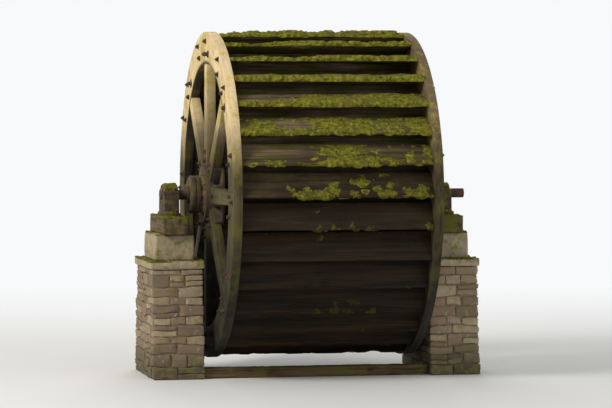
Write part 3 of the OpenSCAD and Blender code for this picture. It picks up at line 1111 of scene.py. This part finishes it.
class WHEEL_OT_bearings(PieceOperator):
    """Plummer blocks with their brasses"""

    bl_idname = "water_wheel.bearings"
    bl_label = "Bearings"

    # Bolts: off the middle by a share of the cap's width, and inside the ends of each part
    OFF_MIDDLE = 0.27
    INSIDE = {"cap": 0.034, "base": 0.052}
    # Turn of the nuts, one way at the near end and the other way at the far end
    NUT_TURN = 0.3

    def execute(self, context):
        for side in SIDES:
            for part in ("base", "cap"):
                node = f"bearing_{part}_{side}"
                casting = worn_copy(
                    f"plummer_{part}_{side}", node, settings("iron").edge_wear * 1.3, segments=3)
                finished(casting, STAND, "iron", "mossy_iron", node)
            paint_node(f"brasses_{side}", "bearing_brass")
            bolts = repeated(f"bearing_bolts_{side}", nut_and_washer(), self.bolt_places(side))
            finished(bolts, STAND, "wrought", "rusty_iron")
        return {"FINISHED"}

    def bolt_places(self, side):
        """Four bolts through the lugs of the cap and four through the foot."""
        low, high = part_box(f"bearing_cap_{side}")
        matrices = []
        for along in (-1, 1):
            x = (low.x + high.x) / 2 + along * (high.x - low.x) * self.OFF_MIDDLE
            for end in (-1, 1):
                for part, inside in self.INSIDE.items():
                    node = f"bearing_{part}_{side}"
                    above = (x, end * (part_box(node)[1].y - inside), high.z + 0.1)
                    place = surface(node, above, (0, 0, -1))
                    matrices.append(standing(place, (0, 0, 1), along * self.NUT_TURN))
        return matrices


class WHEEL_OT_beams(PieceOperator):
    """Oak bearers under the bearings and the sill between the piers"""

    bl_idname = "water_wheel.beams"
    bl_label = "Bearers and sill"

    FINISHES = {"bearer_bank": "bearer_oak", "bearer_mill": "bearer_oak", "pit_sill": "sill_oak"}
    SEED = 60
    ROUNDING = 0.016
    GRID = 0.014
    WAVES = ((0.014, 0.3), (0.007, 0.06))

    def execute(self, context):
        for seed, (node, finish) in enumerate(self.FINISHES.items(), self.SEED):
            beam = even_block(f"{node}_beam", node, self.ROUNDING, self.GRID, *self.WAVES)
            stand_on_floor(beam)
            grain_attribute(beam, seed)
            smooth(beam)
            finished(beam, STAND, "oak", finish, node)
        return {"FINISHED"}


class WHEEL_OT_dressed_stones(PieceOperator):
    """Cap stones and bearing stones, worn at the edges"""

    bl_idname = "water_wheel.dressed_stones"
    bl_label = "Dressed stones"

    ROUNDING = 0.018
    GRID = 0.013
    WAVES = ((0.016, 0.22), (0.008, 0.05))
    TONE = 0.5

    def execute(self, context):
        for side in SIDES:
            for part in ("cap_stone", "bearing_stone"):
                node = f"{part}_{side}"
                block = even_block(f"{node}_block", node, self.ROUNDING, self.GRID, *self.WAVES)
                set_attribute(block, "tone", "FLOAT", np.full(len(block.data.vertices), self.TONE))
                smooth(block, 50)
                finished(block, STAND, "dressed", "dressed_stone", node)
        return {"FINISHED"}


class WHEEL_OT_piers(PieceOperator):
    """Piers of coursed rubble with recessed lime mortar"""

    bl_idname = "water_wheel.piers"
    bl_label = "Piers"

    SEED = 500
    CORE_CUTS = 14
    CORE_WAVES = ((0.008, 0.05),)
    STONE_CUTS = 4
    STONE_WEAR = 0.015
    STONE_WAVES = ((0.030, 0.10), (0.011, 0.03))
    # How far a stone is out of line, how many degrees it is turned, how far the beds waver
    MOVE = 0.006
    TURN = 1.2
    WAVER = 0.03
    # How far the core stays below the cap stone, and the top course inside it
    CORE_DOWN = 0.002
    UNDER_CAP = 0.02
    # Heights of the courses against each other
    RISES = (0.6, 1.45)
    # Quoins are long and narrow in one course, short and wide in the next
    LONG_QUOIN = (0.34, 0.46)
    NARROW_QUOIN = 0.21
    SHORT_QUOIN = 0.2
    WIDE_QUOIN = (0.29, 0.33)
    # Room that is too narrow for a stone between two quoins, which then meet off the middle
    NO_ROOM = 0.08
    OFF_MIDDLE = 0.05
    # Stones between the quoins: how deep, how long, the shortest and the room that needs none
    DEPTH = 0.17
    LENGTHS = (0.11, 0.42)
    SHORTEST = 0.12
    SLIVER = 0.02
    # Height from which a stone may be two thin ones, how often it is, and where it is parted
    TWO_FROM = 0.1
    TWO_SHARE = 0.4
    PARTED_AT = (0.38, 0.62)

    def execute(self, context):
        for seed, side in enumerate(SIDES, self.SEED):
            node = f"pier_{side}"
            core = solid_copy(f"{node}_mortar", node)
            edit(core, lambda: bpy.ops.mesh.subdivide(number_cuts=self.CORE_CUTS))
            self.draw_in(core, node)
            roughen(core, *self.CORE_WAVES)
            stand_on_floor(core)
            smooth(core, 60)
            finished(core, STAND, "rubble", "lime_mortar", node)
            chance = random.Random(seed)
            stones = self.build(f"{node}_stones", self.lay(side, chance), chance)
            stand_on_floor(stones)
            finished(stones, STAND, "rubble", "rubble_stone")
        return {"FINISHED"}

    def draw_in(self, core, node):
        """Draws the sides of the core in behind the faces of the stones."""
        low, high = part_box(node)
        middle = (low + high) / 2
        half = (high - low) / 2
        points = coordinates(core)
        for axis in (0, 1):
            offset = points[:, axis] - middle[axis]
            points[:, axis] = middle[axis] + offset * (1 - settings("masonry").recess / half[axis])
        points[:, 2] = np.clip(points[:, 2], low.z, high.z - self.CORE_DOWN)
        move_to(core, points)

    def lay(self, side, chance):
        """Lays the courses from the bed up, each narrower than the last by the batter."""
        masonry = settings("masonry")
        low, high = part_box(f"pier_{side}")
        top_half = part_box(f"cap_stone_{side}")[1].y - self.UNDER_CAP
        rises = [chance.uniform(*self.RISES) for _ in range(masonry.courses)]
        unit = (high.z - low.z) / sum(rises)
        blocks = []
        base = low.z
        for course, rise in enumerate(rises):
            height = rise * unit
            middle = base + height / 2
            half_y = high.y + (top_half - high.y) * (middle - low.z) / (high.z - low.z)
            blocks += self.course((low.x, high.x), half_y, middle, height, course, chance)
            base += height
        return blocks

    def course(self, ends, half_y, middle, height, course, chance):
        """Quoins of one course and the stones between them, each as its middle and its size."""
        joint = settings("masonry").joint
        quoin_y = chance.uniform(*self.LONG_QUOIN)
        quoin_x = self.NARROW_QUOIN
        if course % 2 == 0:
            quoin_y = self.SHORT_QUOIN
            quoin_x = chance.uniform(*self.WIDE_QUOIN)
        tall = height - joint
        boxes = []
        left, right = ends
        width = right - left
        for end in (-1, 1):
            cuts = [0, quoin_x, width - quoin_x, width]
            if width - 2 * quoin_x < self.NO_ROOM:
                cuts = [0, width / 2 + chance.uniform(-self.OFF_MIDDLE, self.OFF_MIDDLE), width]
            for start, stop in zip(cuts, cuts[1:]):
                deep = quoin_y if start == 0 or stop == width else self.DEPTH
                place = (left + (start + stop) / 2, end * (half_y - deep / 2), middle)
                boxes += self.stone(place, (stop - start - joint, deep, tall), chance)
        for x in (left + self.DEPTH / 2, right - self.DEPTH / 2):
            start = -half_y + quoin_y
            stop = half_y - quoin_y
            while start < stop - self.SLIVER:
                length = chance.uniform(*self.LENGTHS)
                left_over = stop - start - length
                if left_over < self.SHORTEST:
                    length += left_over
                place = (x, start + length / 2, middle)
                boxes += self.stone(place, (self.DEPTH, length - joint, tall), chance)
                start += length
        return boxes

    def stone(self, middle, size, chance):
        """One stone, or two thin ones where the course is high."""
        x, y, z = middle
        across, along, tall = size
        if tall < self.TWO_FROM or chance.random() > self.TWO_SHARE:
            return [(middle, size)]
        joint = settings("masonry").joint
        lower = (tall - joint) * chance.uniform(*self.PARTED_AT)
        upper = tall - joint - lower
        return [
            ((x, y, z - (tall - lower) / 2), (across, along, lower)),
            ((x, y, z + (tall - upper) / 2), (across, along, upper)),
        ]

    def build(self, name, boxes, chance):
        """Makes the stones of a pier from their boxes, each a little out of place."""
        stones = bpy.data.objects.new(name, bpy.data.meshes.new(name))
        bpy.context.scene.collection.objects.link(stones)
        select_only(stones)
        bpy.ops.object.mode_set(mode="EDIT")
        for middle, size in boxes:
            move = Vector((chance.uniform(-1, 1), chance.uniform(-1, 1), 0)) * self.MOVE
            turn = math.radians(chance.uniform(-self.TURN, self.TURN))
            bpy.ops.mesh.primitive_cube_add(
                size=1, location=Vector(middle) + move, rotation=(0, turn, turn), scale=size)
        bpy.ops.mesh.select_all(action="SELECT")
        bpy.ops.mesh.subdivide(number_cuts=self.STONE_CUTS)
        bpy.ops.object.mode_set(mode="OBJECT")
        soften(stones, self.STONE_WEAR, 2, 60)
        roughen(stones, *self.STONE_WAVES)
        self.waver(stones)
        label = islands(stones)
        tones = np.array([chance.random() for _ in range(label.max() + 1)])
        set_attribute(stones, "tone", "FLOAT", tones[label])
        smooth(stones, 60)
        return stones

    def waver(self, stones):
        """Bends the beds and joints, more in the middle of the pier than at its foot and top."""
        points = coordinates(stones)
        low, high = points[:, 2].min(), points[:, 2].max()
        share = (points[:, 2] - low) / (high - low)
        weight = np.clip(4 * share * (1 - share) * 1.6, 0, 1)
        for k, place in enumerate(points.copy()):
            shift = ripple(place, (3.5, 3.5, 5)) + 0.4 * ripple(place, (9, 9, 9))
            points[k, 2] += self.WAVER * weight[k] * shift
        move_to(stones, points)


class WHEEL_OT_moss(PieceOperator):
    """Cushions of moss on the front boards, thick above and thin below"""

    bl_idname = "water_wheel.moss"
    bl_label = "Moss on the boards"

    COLUMNS = 150
    ROWS = 16
    LIP_ROWS = 4
    # Clear of the shrouds and the elbow, and over the lip by shares of its thickness
    SIDE_GAP = 0.003
    FROM_ELBOW = 0.02
    OVER_LIP = (0.3, 1.25)

    def execute(self, context):
        patches = {bay: [] for bay in range(1, BAYS + 1)}
        for board in front_boards():
            patches[board["bay"]].append(self.patch(board))
        for bay, parts in patches.items():
            moss = join(f"moss_bay_{bay}", parts)
            smooth(moss, 80)
            finished(moss, WHEEL, "elm", "board_moss")
        return {"FINISHED"}

    def profile(self, board):
        """Places and outward directions from the elbow over the outer face and round the lip."""
        start = board["elbow"] + board["run"] * self.FROM_ELBOW
        face = board["lip"] - start
        places = [start + face * share for share in np.linspace(0, 1, self.ROWS)]
        ways = [board["up"]] * (self.ROWS - 1) + [(board["up"] + board["run"]) / math.sqrt(2)]
        end = board["under"] - board["lip"]
        for share in np.linspace(*self.OVER_LIP, self.LIP_ROWS):
            places.append(board["lip"] + end * share)
            ways.append(board["run"])
        return np.array(places), np.array(ways)

    def patch(self, board):
        """Moss of one board, its columns from +X to -X so that it faces outwards."""
        places, ways = self.profile(board)
        sheet, column, row = grid_sheet(self.COLUMNS, len(places))
        x = (0.5 - column / (self.COLUMNS - 1)) * 2 * (SHROUD_IN_X - self.SIDE_GAP)
        flat = places[row]
        shares = row / (self.ROWS - 1)
        height = np.array([self.thickness((x[k], *flat[k]), shares[k]) for k in range(len(x))])
        raised = flat + ways[row] * height[:, None]
        move_to(sheet, np.column_stack([x, raised[:, 0] + AXLE.y, raised[:, 1] + AXLE.z]))
        cushion(sheet, height)
        return sheet

    def thickness(self, place, share):
        """Height of the moss over the board, below zero where the board is bare."""
        x, _, z = place
        wide = ripple(place, (1.6, 3.1, 3.1), (0, 0, 5))
        clump = ripple(place, (9, 14, 14))
        tuft = ripple(place, (34, 40, 40))
        high = min(1.0, max(0.0, (z + 0.35) / 1.5))
        edge = 0.35 * min(1.0, share) ** 2
        bank_end = 0.55 * max(0.0, min(1.0, -(x + 0.1) / 0.9))
        cover = 0.75 * wide + 0.5 * clump + 0.3 * tuft + edge + 1.05 * high - 0.7 - bank_end
        swell = 1 + 0.9 * min(1.0, share) ** 3
        return settings("moss").height * max(-0.4, min(1.0, cover * 1.3) * swell)


class WHEEL_OT_ledge_moss(PieceOperator):
    """Moss on the bearings, the bearers and the ledges of the piers"""

    bl_idname = "water_wheel.ledge_moss"
    bl_label = "Moss on the piers"

    STEP = 0.008
    DROP = 0.016
    BURIED = -0.006
    PARTS = ("bearing_cap", "bearing_base", "bearer", "bearing_stone", "cap_stone")

    def execute(self, context):
        for side in SIDES:
            finished(self.sheet(side), STAND, "dressed", "pier_moss")
        return {"FINISHED"}

    def sheet(self, side):
        """Moss over all that stands on a pier, bare at its steps."""
        low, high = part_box(f"cap_stone_{side}")
        columns = round((high.x - low.x) / self.STEP)
        rows = round((high.y - low.y) / self.STEP)
        sheet, column, row = grid_sheet(columns, rows)
        sheet.name = f"pier_moss_{side}"
        x = low.x + (high.x - low.x) * column / (columns - 1)
        y = low.y + (high.y - low.y) * row / (rows - 1)
        tops = [self.top(side, *place) for place in zip(x, y)]
        z, normals = (np.array(values) for values in zip(*tops))
        ground = np.zeros((columns, rows))
        ground[column, row] = z
        points = np.column_stack([x, y, z])
        height = np.array([self.thickness(place) for place in points])
        height = np.where(self.near_drop(ground)[column, row], self.BURIED, height)
        move_to(sheet, points + normals * height[:, None])
        cushion(sheet, height)
        smooth(sheet, 80)
        return sheet

    def top(self, side, x, y):
        """Highest place of the pier's pieces under a point, and its direction."""
        best = (-1.0, (0, 0, 1))
        for part in self.PARTS:
            place, normal, _, _ = surface_tree(f"{part}_{side}").ray_cast(
                Vector((x, y, AXLE.z + 1)), Vector((0, 0, -1)))
            if place and place.z > best[0]:
                best = (place.z, tuple(normal))
        return best

    def near_drop(self, ground):
        """Marks the corners of each cell of the grid that crosses a step, and the outer edge."""
        halves = (slice(None, -1), slice(1, None))
        cells = [(along, across) for along in halves for across in halves]
        step = np.ptp(np.stack([ground[cell] for cell in cells]), axis=0) > self.DROP
        edge = np.zeros(ground.shape, bool)
        for cell in cells:
            edge[cell] |= step
        edge[[0, -1]] = True
        edge[:, [0, -1]] = True
        return edge

    def thickness(self, place):
        """Height of the moss over the ledges, below zero where they are bare."""
        wide, clump, tuft = (ripple(place, (scale,) * 3) for scale in (4, 15, 45))
        cover = 0.8 * wide + 0.55 * clump + 0.3 * tuft + 0.22
        return settings("moss").height * max(-0.5, min(1.0, cover * 1.4))


class WHEEL_OT_stage(PieceOperator):
    """Camera, lamps, world and pale floor"""

    bl_idname = "water_wheel.stage"
    bl_label = "Stage"

    LAMPS = (
        ("key", (-17.5, -9.0, 14.5), 8.0, 3600, (1.0, 0.97, 0.92)),
        ("fill", (13.0, -15.0, 7.0), 10.0, 850, (0.93, 0.97, 1.0)),
        ("back", (2.0, 15.0, 11.0), 9.0, 1100, (1.0, 1.0, 1.0)),
    )
    LAMPS_AIM = (0.0, 0.0, 1.8)
    WORLD_LIGHT = 0.42
    SENSOR = 36
    FARTHEST = 400
    FLOOR_R = 150
    # Distances at which the floor starts to fade and is all backdrop
    FADE = (4.0, 17.0)

    def execute(self, context):
        self.camera()
        for name, place, size, power, colour in self.LAMPS:
            lamp = bpy.data.lights.new(name, "AREA")
            lamp.shape = "SQUARE"
            lamp.size = size
            lamp.energy = power
            lamp.color = colour
            self.point(name, lamp, place, self.LAMPS_AIM)
        self.world()
        self.floor()
        bpy.context.scene.view_settings.view_transform = "Standard"
        return {"FINISHED"}

    def point(self, name, data, place, aim):
        """Puts a lamp or a camera at a place and points it."""
        item = bpy.data.objects.new(name, data)
        item.location = place
        item.rotation_euler = (Vector(aim) - Vector(place)).to_track_quat("-Z", "Y").to_euler()
        bpy.context.scene.collection.objects.link(item)
        return item

    def camera(self):
        stage = settings("stage")
        data = bpy.data.cameras.new("camera")
        data.lens = stage.lens
        data.sensor_width = self.SENSOR
        data.clip_end = self.FARTHEST
        bpy.context.scene.camera = self.point("camera", data, stage.eye, stage.aim)

    def world(self):
        """Plain light on the object, and the full backdrop where it is seen itself."""
        world = bpy.data.worlds.new("studio")
        nodes = Nodes(world)
        camera, glossy, through = (
            nodes.node("ShaderNodeLightPath", output=f"Is {kind} Ray")
            for kind in ("Camera", "Glossy", "Transmission"))
        seen = (camera + glossy.math("MAXIMUM", through)).clamp()
        background = nodes.tree.nodes["Background"].inputs
        nodes.feed(background["Color"], BACKDROP)
        nodes.feed(background["Strength"], seen * (1 - self.WORLD_LIGHT) + self.WORLD_LIGHT)
        bpy.context.scene.world = world

    def floor(self):
        """Pale floor that turns to the backdrop's colour far from the object."""
        floor = add_primitive(
            bpy.ops.mesh.primitive_circle_add, vertices=96, radius=self.FLOOR_R, fill_type="NGON")
        floor.name = "floor"
        finish = Finish("pale_floor")
        finish.feed(finish.shader.inputs["Base Color"], settings("stage").floor)
        finish.feed(finish.shader.inputs["Roughness"], 0.9)
        white = finish.node("ShaderNodeEmission", inputs={"Color": BACKDROP, "Strength": 1.0})
        distance = finish.node(
            "ShaderNodeVectorMath", {"operation": "LENGTH"}, {0: finish.place}, "Value")
        far = distance.step(*self.FADE) * finish.node("ShaderNodeLightPath", output="Is Camera Ray")
        shader = Signal(finish, finish.shader.outputs[0])
        blend = finish.node("ShaderNodeMixShader", inputs={0: far, 1: shader, 2: white})
        finish.feed(finish.tree.nodes["Material Output"].inputs["Surface"], blend)
        floor.data.materials.append(finish.material)


class WHEEL_PT_panel(bpy.types.Panel):
    """Lists the operators of the water wheel"""

    bl_idname = "WHEEL_PT_panel"
    bl_label = "Water Wheel"
    bl_space_type = "VIEW_3D"
    bl_region_type = "UI"
    bl_category = "Water Wheel"

    def draw(self, context):
        for operator in OPERATORS:
            self.layout.operator(operator.bl_idname)
        for group, kind in SETTINGS.items():
            box = self.layout.box()
            for name in kind.__annotations__:
                box.prop(settings(group), name)


OPERATORS = (
    WHEEL_OT_stage,
    WHEEL_OT_piers,
    WHEEL_OT_dressed_stones,
    WHEEL_OT_beams,
    WHEEL_OT_bearings,
    WHEEL_OT_hubs,
    WHEEL_OT_axle,
    WHEEL_OT_arms,
    WHEEL_OT_shrouds,
    WHEEL_OT_sole,
    WHEEL_OT_buckets,
    WHEEL_OT_moss,
    WHEEL_OT_wheel_bolts,
    WHEEL_OT_nails,
    WHEEL_OT_ledge_moss,
)


def register():
    for group, kind in SETTINGS.items():
        bpy.utils.register_class(kind)
        setattr(bpy.types.Scene, f"water_wheel_{group}", PointerProperty(type=kind))
    for kind in (*OPERATORS, WHEEL_PT_panel):
        bpy.utils.register_class(kind)


def unregister():
    for kind in (WHEEL_PT_panel, *reversed(OPERATORS)):
        bpy.utils.unregister_class(kind)
    for group, kind in SETTINGS.items():
        delattr(bpy.types.Scene, f"water_wheel_{group}")
        bpy.utils.unregister_class(kind)


def main():
    register()
    deselect_all()
    for operator in OPERATORS:
        group, name = operator.bl_idname.split(".")
        getattr(getattr(bpy.ops, group), name)()


if __name__ == "__main__":
    main()
